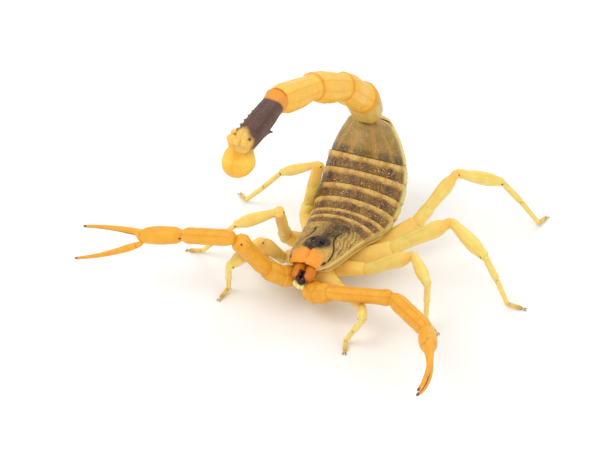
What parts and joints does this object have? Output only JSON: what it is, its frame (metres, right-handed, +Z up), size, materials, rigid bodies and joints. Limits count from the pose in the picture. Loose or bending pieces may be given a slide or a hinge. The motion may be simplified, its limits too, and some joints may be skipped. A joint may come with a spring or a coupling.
{
  "type": "desert scorpion",
  "caption": "Life-size desert scorpion standing with open pincers and its tail arched forward over its back.",
  "frame": {"origin": "on the floor, under the middle of the animal's bounding box", "axes": "the head faces -Y, the animal's left side is +X and +Z is up"},
  "size_m": [0.0646, 0.0582, 0.0373],
  "materials": {
    "head_shield": "satin",
    "shell": "satin",
    "underside": "satin",
    "comb": "satin",
    "jaw": "satin",
    "eye_black": "gloss",
    "tail_dark": "satin",
    "tail_amber": "satin",
    "bulb_yellow": "satin",
    "leg_straw": "satin",
    "arm_amber": "satin"
  },
  "bodies": {
    "root": {"arm_left_femur": "arm_amber", "arm_left_finger": "arm_amber", "arm_left_hand": "arm_amber", "arm_left_patella": "arm_amber", "arm_left_trochanter": "arm_amber", "arm_right_femur": "arm_amber", "arm_right_finger": "arm_amber", "arm_right_hand": "arm_amber", "arm_right_patella": "arm_amber", "arm_right_trochanter": "arm_amber", "carapace": "head_shield", "chelicera_left": "jaw", "chelicera_right": "jaw", "coxal_plate": "underside", "eye_left": "eye_black", "eye_right": "eye_black", "leg_left_1_femur": "leg_straw", "leg_left_1_foot": "leg_straw", "leg_left_1_patella": "leg_straw", "leg_left_2_femur": "leg_straw", "leg_left_2_foot": "leg_straw", "leg_left_2_patella": "leg_straw", "leg_left_3_femur": "leg_straw", "leg_left_3_foot": "leg_straw", "leg_left_3_patella": "leg_straw", "leg_left_4_femur": "leg_straw", "leg_left_4_foot": "leg_straw", "leg_left_4_patella": "leg_straw", "leg_right_1_femur": "leg_straw", "leg_right_1_foot": "leg_straw", "leg_right_1_patella": "leg_straw", "leg_right_2_femur": "leg_straw", "leg_right_2_foot": "leg_straw", "leg_right_2_patella": "leg_straw", "leg_right_3_femur": "leg_straw", "leg_right_3_foot": "leg_straw", "leg_right_3_patella": "leg_straw", "leg_right_4_femur": "leg_straw", "leg_right_4_foot": "leg_straw", "leg_right_4_patella": "leg_straw", "pecten_left": "comb", "pecten_right": "comb", "segment_7": "shell", "sternite_3": "underside", "sternite_4": "underside", "sternite_5": "underside", "sting": "tail_dark", "sting_bulb": "bulb_yellow", "tail_1": "tail_amber", "tail_2": "tail_amber", "tail_3": "tail_amber", "tail_4": "tail_amber", "tail_5": "tail_dark", "tergite_1": "shell", "tergite_2": "shell", "tergite_3": "shell", "tergite_4": "shell", "tergite_5": "shell", "tergite_6": "shell"}
  },
  "joints": []
}
